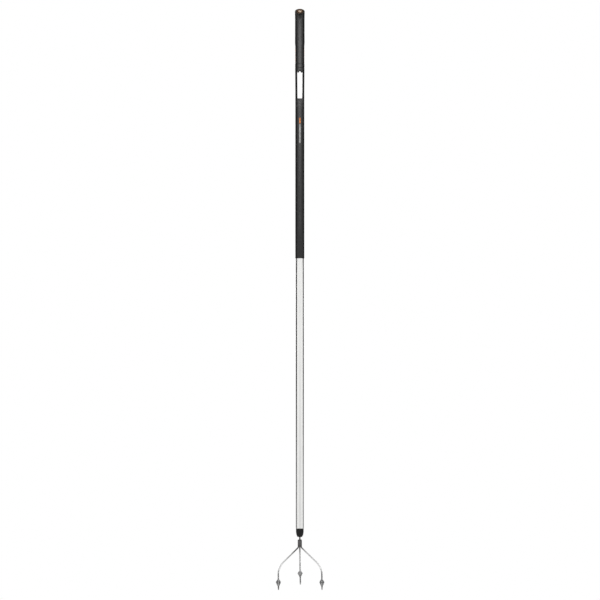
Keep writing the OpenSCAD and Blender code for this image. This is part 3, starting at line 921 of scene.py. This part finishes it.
def make_share(name, knee, tip, up_from_tip, right=False):
    """A folded diamond plate on the back of its bar, and the fillets that hold it."""
    way = (tip - knee).normalized()
    across, forward = bar_ways(way)
    spot = tip - way * up_from_tip - forward * BAR_END / 2
    levels = [(0.0, 0.985), (0.14, 1.0), (1.0, 1.0), (1.12, 0.99), (2.08, 0.83), (2.2, 0.80)]
    rings = []
    for depth, size in levels:
        ring = []
        for q in share_outline():
            folded = max(0.0, abs(q.x * size) - BAR_W / 2) * SHARE_FOLD
            ring.append(spot + across * q.x * size + way * q.y * size - forward * (depth + folded))
        rings.append(ring)
    plate = loft(name, rings)
    fillet_up, fillet_len, fillet_half, fillet_rise = 7.0, 16.0, 0.9, 0.8
    fillets = []
    for side in (-1, 1):
        start = spot - way * fillet_up + across * side * (BAR_W / 2)
        fillets.append(rippled_bead("fillet", start, (way, across, forward), fillet_len, fillet_half,
                                    fillet_rise, root=0.0, ripples=11))
    piece = add_shells(plate, *fillets)
    if right:
        mirror(piece)
    return place(piece, name, FINISH["share_steel"], sharp=30)


def make_ferrule():
    straight, rim, chamfer, steps = 6.0, 0.3, 0.6, 20
    mouth_r = BAR_ROOT / 2 + 0.6
    round_len = TUBE_LOW - NOSE_Z - straight
    outline = [(0, FERRULE_TOP), (SPIGOT_R - chamfer, FERRULE_TOP), (SPIGOT_R, FERRULE_TOP - chamfer),
               (SPIGOT_R, TUBE_LOW), (NOSE_R - rim, TUBE_LOW), (NOSE_R, TUBE_LOW - rim)]
    for i in range(steps + 1):
        a = math.radians(90 * i / steps)
        r = mouth_r + (NOSE_R - mouth_r) * math.cos(a)
        outline.append((r, TUBE_LOW - straight - round_len * math.sin(a)))
    piece = lathe("ferrule", outline + [(0, NOSE_Z)])
    half_w, half_d, clear = BAR_W / 2 + FIT, BAR_ROOT / 2 + FIT, 2.0
    corners = (-half_w, -half_d), (half_w, -half_d), (half_w, half_d), (-half_w, half_d)
    mouth = [(x, y, NOSE_Z - clear) for x, y in corners]
    join_shape(piece, prism("mouth", mouth, UP, TANG_TOP + FIT - NOSE_Z + clear))
    drill(piece, HEAD_PIN_Z)
    return place(piece, "ferrule", FINISH["ferrule_plastic"])


make_tube()
make_sleeve()
make_frame()
make_soft_grip()
make_end_inlay()
make_side_inlay("left_inlay", -1)
make_side_inlay("right_inlay", 1)
make_ferrule()
make_centre_tine()
make_side_tine("left_tine")
make_side_tine("right_tine", right=True)
make_weld("left_weld")
make_weld("right_weld")
make_share("centre_share", CENTRE_KNEE, CENTRE_TIP, up_from_tip=49.0)
make_share("left_share", SIDE_KNEE, SIDE_TIP, up_from_tip=29.0)
make_share("right_share", SIDE_KNEE, SIDE_TIP, up_from_tip=29.0, right=True)
for pin in ("frame_pin", "head_pin"):
    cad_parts[pin].data.materials.clear()
    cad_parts[pin].data.materials.append(FINISH["pin_steel"])


# Studio


def flat_card(name, corners, finish):
    """A flat card of the stage."""
    mesh = bpy.data.meshes.new(name)
    mesh.from_pydata(corners, [], [tuple(range(len(corners)))])
    mesh.materials.append(finish)
    card = bpy.data.objects.new(name, mesh)
    bpy.context.scene.collection.objects.link(card)
    return card


def seen_ray(tone):
    """1 for rays from the camera and for what shiny and clear surfaces show, 0 for soft light."""
    path = tone.node("LightPath").socket.node.outputs
    kinds = "Is Camera Ray", "Is Glossy Ray", "Is Transmission Ray"
    camera, shiny, clear = [Tone(tone.tree, path[kind]) for kind in kinds]
    return tone.node("Clamp", None, {0: camera + shiny + clear})


def pale_floor(spot):
    """Pale matte floor that is paler still to the camera and in reflections."""
    return {"Emission Color": seen_ray(spot).paint(grey(0.0), grey(0.35))}


def make_floor():
    gap, half = 0.00222, 8
    z = solid_box[0][Z] - gap
    finish = make_finish("pale_floor", pale_floor, Base_Color=grey(0.9), Roughness=0.9,
                         Specular_IOR_Level=0.1, Emission_Strength=1.0)
    flat_card("floor", [(-half, -half, z), (half, -half, z), (half, half, z), (-half, half, z)], finish)


def dim_card(name, corners, shade):
    """A card with a shade of its own, which shiny surfaces alone show."""
    finish = make_finish(name, lambda spot: {"Emission Color": shade(spot)}, Base_Color=grey(0.0),
                         Specular_IOR_Level=0.0, Emission_Strength=1.0)
    card = flat_card(name, corners, finish)
    card.visible_camera = False
    card.visible_diffuse = False
    card.visible_shadow = False


def side_flag(name, side, near, low, high, levels):
    """An upright card beside the tool, from a near angle round to the back, with two levels."""
    reach, far, fade = 0.9, 165, (-0.8, -1.28)
    (x0, y0), (x1, y1) = [(side * reach * math.sin(math.radians(a)), -reach * math.cos(math.radians(a)))
                          for a in (near, far)]
    dim_card(name, [(x0, y0, low), (x1, y1, low), (x1, y1, high), (x0, y0, high)],
             lambda spot: spot.axes()[Z].step(*fade).paint(grey(levels[0]), grey(levels[1])))


def level_flag(name, z, left, right, near, far, fade, levels):
    """A level card, with a level at its near edge and another beyond its fade."""
    dim_card(name, [(left, near, z), (right, near, z), (right, far, z), (left, far, z)],
             lambda spot: spot.axes()[Y].step(near, near + fade).paint(grey(levels[0]), grey(levels[1])))


def make_flags():
    """Cards that the tool's shiny surfaces show: dark ones, a pale one in front and a glint over the end."""
    split, top, foot = -0.5, 1.1, -1.45
    side_flag("left_grip_flag", -1, near=72, low=split, high=top, levels=(0.02, 0.02))
    side_flag("right_grip_flag", 1, near=72, low=split, high=top, levels=(0.02, 0.02))
    side_flag("left_tube_flag", -1, near=90, low=foot, high=split, levels=(0.02, 0.24))
    side_flag("right_tube_flag", 1, near=95, low=foot, high=split, levels=(0.03, 0.28))
    level_flag("top_flag", 1.5, left=-0.6, right=2.4, near=-2.2, far=-0.4, fade=0.4, levels=(0.3, 0.06))
    level_flag("brow_flag", -0.40, left=-0.25, right=0.25, near=-0.75, far=-0.2, fade=0.55,
               levels=(0.03, 0.02))

    # Over the end of the grip, and sloping from there to the front
    z, wide, near, far = 0.32, 0.175, -0.14, 0.16
    level_flag("grip_end_flag", z, left=-wide, right=wide, near=near, far=far, fade=0.03,
               levels=(0.03, 0.02))
    front_z, front_wide, front_y = 0.187, 0.45, -0.5
    dim_card("grip_front_flag", [(-wide, near, z), (wide, near, z), (front_wide, front_y, front_z),
                                 (-front_wide, front_y, front_z)],
             lambda spot: spot.axes()[Y].step(front_y, near).paint(grey(0.04), grey(0.03)))

    # A bent bright strip that the domed end inlay shows
    z, mid, half, dip, low, high = 0.30, 0.004, 0.0155, 0.011, -0.0055, 0.004
    dim_card("grip_end_glint", [(mid - half, low, z), (mid, low - dip, z), (mid + half, low, z),
                                (mid + half, high, z), (mid, high - dip, z), (mid - half, high, z)],
             lambda spot: abs(spot.axes()[X] - mid).step(half, 0).paint((18, 14.5, 11, 1), (30, 26, 22, 1)))

    # In front of the bare tube
    y, left, right, high, pale_z = -1.2, -0.48, 0.75, -0.55, -1.2
    dim_card("front_flag", [(left, y, foot), (right, y, foot), (right, y, high), (left, y, high)],
             lambda spot: spot.axes()[Z].step(high, pale_z).paint(grey(0.95), grey(0.82)))


def make_world():
    """White to the camera and in reflections, and softer as a light."""
    soft = 0.45
    world = bpy.data.worlds.new("studio")
    bpy.context.scene.world = world
    world.use_nodes = True
    tree = world.node_tree
    sky = next(n for n in tree.nodes if n.type == "BACKGROUND")
    sky.inputs["Color"].default_value = grey(1.0)
    level = seen_ray(Tone(tree)) * (1 - soft) + soft
    tree.links.new(level.socket, sky.inputs["Strength"])


def make_lamp(name, at, aim, size, watts):
    lamp = bpy.data.lights.new(name, "AREA")
    lamp.shape = "RECTANGLE"
    lamp.size, lamp.size_y = size
    lamp.energy = watts
    light = bpy.data.objects.new(name, lamp)
    light.location = at
    light.rotation_euler = (Vector(aim) - Vector(at)).to_track_quat("-Z", "Y").to_euler()
    bpy.context.scene.collection.objects.link(light)


def make_camera():
    """Level and far off, without perspective, a little to one side of straight in front."""
    view_span, away, level = 1.641, 4, -0.626
    yaw, aside = math.radians(-1.2), 0.0005
    lens = bpy.data.cameras.new("camera")
    lens.type = "ORTHO"
    lens.ortho_scale = view_span
    camera = bpy.data.objects.new("camera", lens)
    camera.location = Matrix.Rotation(yaw, 3, "Z") @ Vector((aside, -away, level))
    camera.rotation_euler = (math.pi / 2, 0, yaw)
    bpy.context.scene.collection.objects.link(camera)
    bpy.context.scene.camera = camera


make_floor()
make_flags()
make_world()
make_lamp("front_box", at=(0.0, -0.3, 0.077), aim=(0, 0, 0.077), size=(0.42, 0.17), watts=0.6)
make_lamp("low_box", at=(-0.05, -0.95, -0.15), aim=(0, 0, -0.15), size=(1.2, 0.3), watts=3.15)
make_lamp("back_box", at=(0.0, 0.95, -0.15), aim=(0, 0, -0.15), size=(0.3, 1.3), watts=5.0)
make_camera()
bpy.context.scene.view_settings.view_transform = "Standard"
